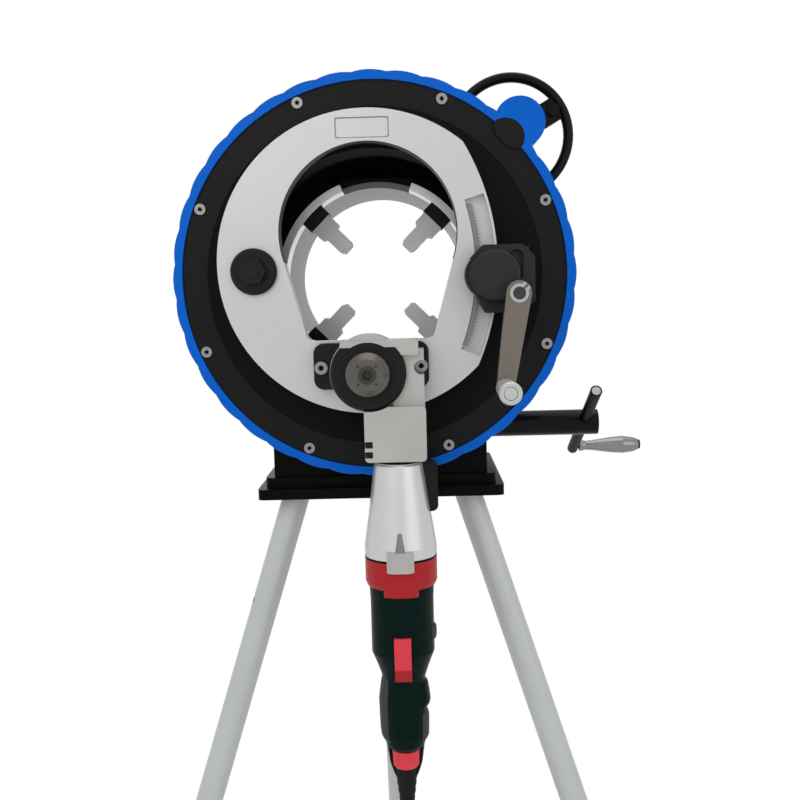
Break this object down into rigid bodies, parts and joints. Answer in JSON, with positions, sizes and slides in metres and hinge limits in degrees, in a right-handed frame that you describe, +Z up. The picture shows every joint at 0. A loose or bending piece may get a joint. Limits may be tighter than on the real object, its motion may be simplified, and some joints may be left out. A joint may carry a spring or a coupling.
{
  "type": "pipe cutting and beveling machine",
  "caption": "Pipe cutting and beveling machine on a three-leg stand: turning gear ring, swinging cutter head with motor, crank feed and self-centring vise.",
  "frame": {"origin": "on the floor below the pipe axis, in the plane of the front cover's face", "axes": "+X to the right seen from the motor side, +Y along the pipe away from the motor, +Z up"},
  "size_m": [0.7136, 0.6203, 1.205],
  "materials": {
    "black_paint": "satin black",
    "blue_paint": "satin blue",
    "leg_paint": "light grey",
    "alu": "cast and machined",
    "steel": "turned",
    "jaw_steel": "hardened",
    "chrome": "polished",
    "bronze": "plain",
    "red_plastic": "gloss red",
    "green_plastic": "dark green",
    "black_plastic": "black",
    "rubber": "black"
  },
  "bodies": {
    "stand": {"base_plate": "black_paint", "saddle": "black_paint", "legs": "leg_paint", "leg_feet": "rubber", "gear_casing": "blue_paint", "back_cover": "blue_paint", "front_cover": "black_paint", "cover_screws": "steel", "rotor_bearing": "bronze", "pinion_bushes": "bronze", "vise_body": "black_paint", "vise_back": "black_paint", "pipe_sleeve": "steel", "guide_bar": "steel", "screw_tube": "black_paint", "power_cord": "rubber", "cord_coil": "rubber", "cord_plug": "black_plastic"},
    "rotor": {"rotor_disc": "black_paint", "ring_gear": "steel", "pivot_stud": "steel", "pivot_nut": "black_paint", "feed_housing": "black_paint", "feed_cap": "black_paint"},
    "swing": {"swing_plate": "alu", "feed_rack": "steel", "head_flange": "black_paint", "flange_screws": "steel", "gear_head": "alu", "blade_guard": "black_paint", "motor_nose": "alu", "gear_selector": "black_plastic", "motor_collar": "red_plastic", "motor_body": "green_plastic", "cord_ring": "red_plastic", "strain_relief": "rubber"},
    "cutter_spindle": {"spindle": "steel", "worm_wheel": "bronze", "blade_flange": "steel"},
    "motor_armature": {"armature": "steel"},
    "trigger": {"paddle_switch": "red_plastic"},
    "hand_drive": {"handwheel": "black_paint", "drive_pinion": "steel"},
    "hand_grip": {"wheel_grip": "black_plastic"},
    "feed_gear": {"feed_pinion": "steel"},
    "feed_crank": {"crank_shaft": "steel", "crank_arm": "steel", "crank_circlip": "steel"},
    "feed_grip": {"crank_grip": "steel"},
    "vise_crank": {"vise_screw": "steel", "crank_hub": "black_paint", "cross_bar": "black_paint"},
    "vise_handle": {"vise_grip": "chrome"},
    "left_jaw": {"left_carriage": "steel", "left_jaws": "jaw_steel", "left_blocks": "black_paint"},
    "right_jaw": {"right_carriage": "steel", "right_jaws": "jaw_steel", "right_blocks": "black_paint"}
  },
  "joints": [
    {"name": "rotor_spin", "type": "hinge", "parent": "stand", "child": "rotor", "pos_m": [0, 0, 0.95], "axis": [0, -1, 0], "continuous": true},
    {"name": "plate_swing", "type": "hinge", "parent": "rotor", "child": "swing", "pos_m": [-0.139, -0.016, 0.959], "axis": [0, -1, 0], "range_deg": [-17, 17]},
    {"name": "armature_spin", "type": "hinge", "parent": "swing", "child": "motor_armature", "pos_m": [0.024, -0.056, 0.7], "axis": [0, 0, 1], "continuous": true},
    {"name": "spindle_spin", "type": "hinge", "parent": "swing", "child": "cutter_spindle", "pos_m": [-0.007, -0.06, 0.841], "axis": [0, -1, 0], "continuous": true},
    {"name": "paddle_press", "type": "slide", "parent": "swing", "child": "trigger", "axis": [0, 1, 0], "range_m": [0, 0.004], "stiffness_N_per_m": 2000, "springref_m": -0.002},
    {"name": "handwheel_spin", "type": "hinge", "parent": "stand", "child": "hand_drive", "pos_m": [0.17501, 0.06, 1.12501], "axis": [0, -1, 0], "continuous": true},
    {"name": "handwheel_grip_spin", "type": "hinge", "parent": "hand_drive", "child": "hand_grip", "pos_m": [0.2287, 0.15, 1.15601], "axis": [0, -1, 0], "continuous": true},
    {"name": "feed_pinion_spin", "type": "hinge", "parent": "rotor", "child": "feed_gear", "pos_m": [0.13202, -0.03, 0.94788], "axis": [0, -1, 0], "range_deg": [-605, 605]},
    {"name": "feed_crank_spin", "type": "hinge", "parent": "rotor", "child": "feed_crank", "pos_m": [0.1624, -0.06, 0.92676], "axis": [0, -1, 0], "range_deg": [-800, 800]},
    {"name": "feed_grip_spin", "type": "hinge", "parent": "feed_crank", "child": "feed_grip", "pos_m": [0.146, -0.12, 0.82204], "axis": [0, -1, 0], "continuous": true},
    {"name": "vise_crank_spin", "type": "hinge", "parent": "stand", "child": "vise_crank", "pos_m": [0.18, 0.147, 0.75], "axis": [1, 0, 0], "range_deg": [-1440, 2016]},
    {"name": "vise_grip_spin", "type": "hinge", "parent": "vise_crank", "child": "vise_handle", "pos_m": [0.32, 0.23353, 0.70399], "axis": [1, 0, 0], "continuous": true},
    {"name": "left_jaw_slide", "type": "slide", "parent": "stand", "child": "left_jaw", "axis": [-1, 0, 0], "range_m": [-0.02, 0.028]},
    {"name": "right_jaw_slide", "type": "slide", "parent": "stand", "child": "right_jaw", "axis": [1, 0, 0], "range_m": [-0.02, 0.028]}
  ],
  "couplings": [
    {"joint": "spindle_spin", "follows": "armature_spin", "ratio": 0.035714},
    {"joint": "handwheel_spin", "follows": "rotor_spin", "ratio": -10.786},
    {"joint": "feed_pinion_spin", "follows": "plate_swing", "ratio": -35.167},
    {"joint": "feed_crank_spin", "follows": "plate_swing", "ratio": 46.156},
    {"joint": "left_jaw_slide", "follows": "vise_crank_spin", "m_per_rad": 0.00079577},
    {"joint": "right_jaw_slide", "follows": "vise_crank_spin", "m_per_rad": 0.00079577}
  ]
}
